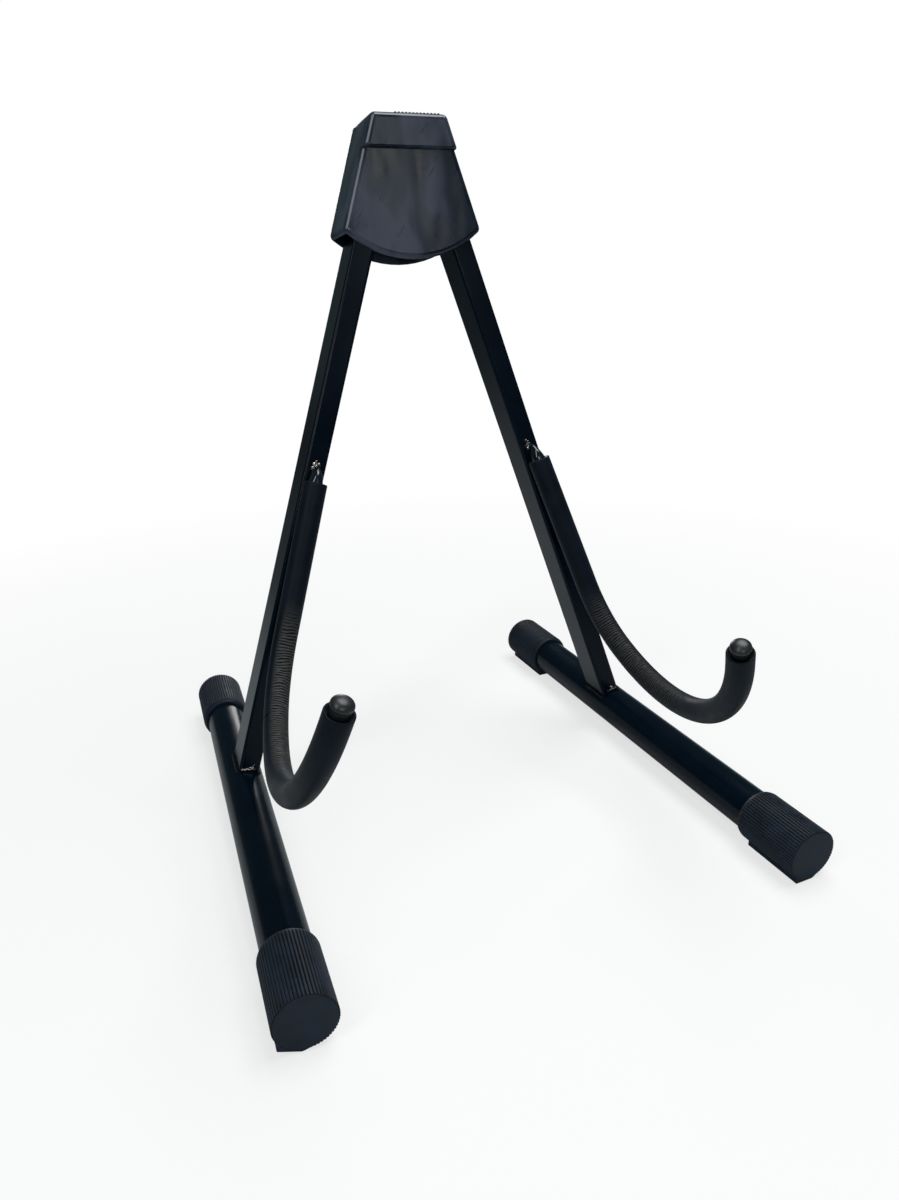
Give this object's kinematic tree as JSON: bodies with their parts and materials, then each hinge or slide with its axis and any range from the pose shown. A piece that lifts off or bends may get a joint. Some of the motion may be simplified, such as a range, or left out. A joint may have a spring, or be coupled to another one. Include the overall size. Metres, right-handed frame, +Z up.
{
  "type": "guitar stand",
  "caption": "Folding A-frame guitar stand: black steel legs on capped floor tubes, foam-covered J hooks and a moulded hinge head.",
  "frame": {"origin": "the floor under the middle of the footprint, halfway between the front and rear ends of the stand", "axes": "+Z up, -Y towards the front where the hooks open, +X to the right seen from the front"},
  "size_m": [0.2942, 0.3046, 0.3729],
  "materials": {
    "head_plastic": "satin charcoal moulding",
    "painted_steel": "black powder coat, semi-gloss",
    "weld": "weld bead under black paint",
    "bare_weld": "bright weld bead",
    "cap_rubber": "black moulded rubber",
    "foam": "closed-cell foam tube, matte",
    "tip_vinyl": "glossy dipped vinyl",
    "zinc_steel": "zinc plated",
    "black_steel": "black oxide",
    "nylon": "natural nylon"
  },
  "bodies": {
    "head": {"head_front_shell": "head_plastic", "head_rear_shell": "head_plastic", "pivot_bolt_left": "black_steel", "pivot_bolt_right": "black_steel", "pivot_nut_left": "zinc_steel", "pivot_nut_right": "zinc_steel", "pivot_washer_left": "nylon", "pivot_washer_right": "nylon", "shell_screw_upper": "black_steel", "shell_screw_lower": "black_steel"},
    "left_leg": {"leg_left": "painted_steel", "pivot_sleeve_left": "zinc_steel", "floor_tube_left": "painted_steel", "front_cap_left": "cap_rubber", "rear_cap_left": "cap_rubber", "hook_rod_left": "painted_steel", "foam_sleeve_left": "foam", "tip_cap_left": "tip_vinyl", "hook_weld_left": "bare_weld", "foot_weld_left": "weld"},
    "right_leg": {"leg_right": "painted_steel", "pivot_sleeve_right": "zinc_steel", "floor_tube_right": "painted_steel", "front_cap_right": "cap_rubber", "rear_cap_right": "cap_rubber", "hook_rod_right": "painted_steel", "foam_sleeve_right": "foam", "tip_cap_right": "tip_vinyl", "hook_weld_right": "bare_weld", "foot_weld_right": "weld"}
  },
  "joints": [
    {"name": "left_leg_fold", "type": "hinge", "parent": "head", "child": "left_leg", "pos_m": [-0.0107, 0.07521, 0.36035], "axis": [0, -0.9932, 0.1167], "range_deg": [0, 17.5]},
    {"name": "right_leg_fold", "type": "hinge", "parent": "head", "child": "right_leg", "pos_m": [0.0107, 0.07521, 0.36035], "axis": [0, 0.9932, -0.1167], "range_deg": [0, 17.5]}
  ]
}
